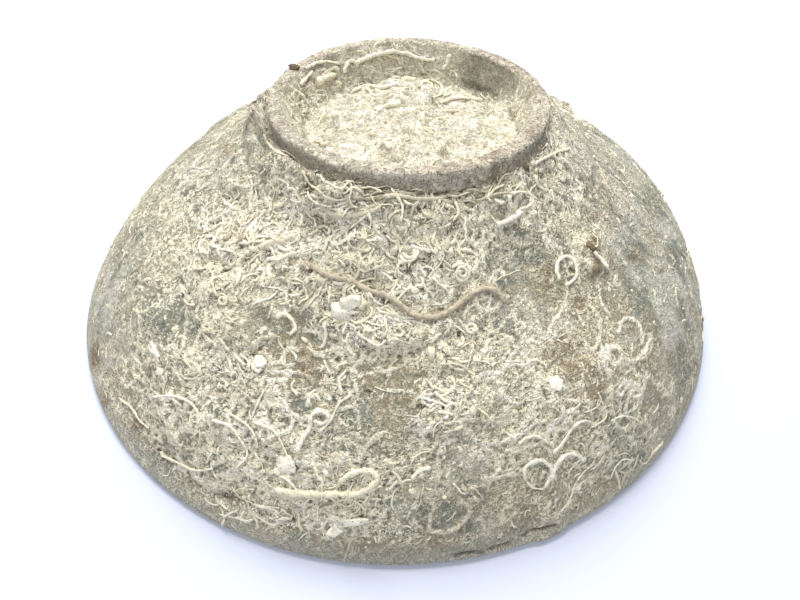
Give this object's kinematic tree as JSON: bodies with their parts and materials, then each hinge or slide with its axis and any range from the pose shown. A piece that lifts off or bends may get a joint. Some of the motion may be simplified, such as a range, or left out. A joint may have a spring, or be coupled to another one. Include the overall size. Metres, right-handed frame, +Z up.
{
  "type": "tea bowl",
  "caption": "Shallow footed stoneware tea bowl, crusted with sea-worm tubes and lime, lying upside down on its rim with the foot ring up.",
  "frame": {"origin": "middle of the rim, on the surface that the bowl lies on, upside down", "axes": "+Z up through the foot ring, the bowl's short way; +X to the right and +Y away, as the picture shows the bowl"},
  "size_m": [0.1499, 0.1498, 0.0493],
  "materials": {
    "crusted_glaze": "worn olive-grey glaze under a matt film of dirt and lime",
    "bare_clay": "matt, pitted, unglazed",
    "worm_tubes": "matt cream lime tubes",
    "white_shell": "matt near-white lime and shell"
  },
  "bodies": {
    "root": {"bowl": "crusted_glaze"}
  },
  "joints": []
}
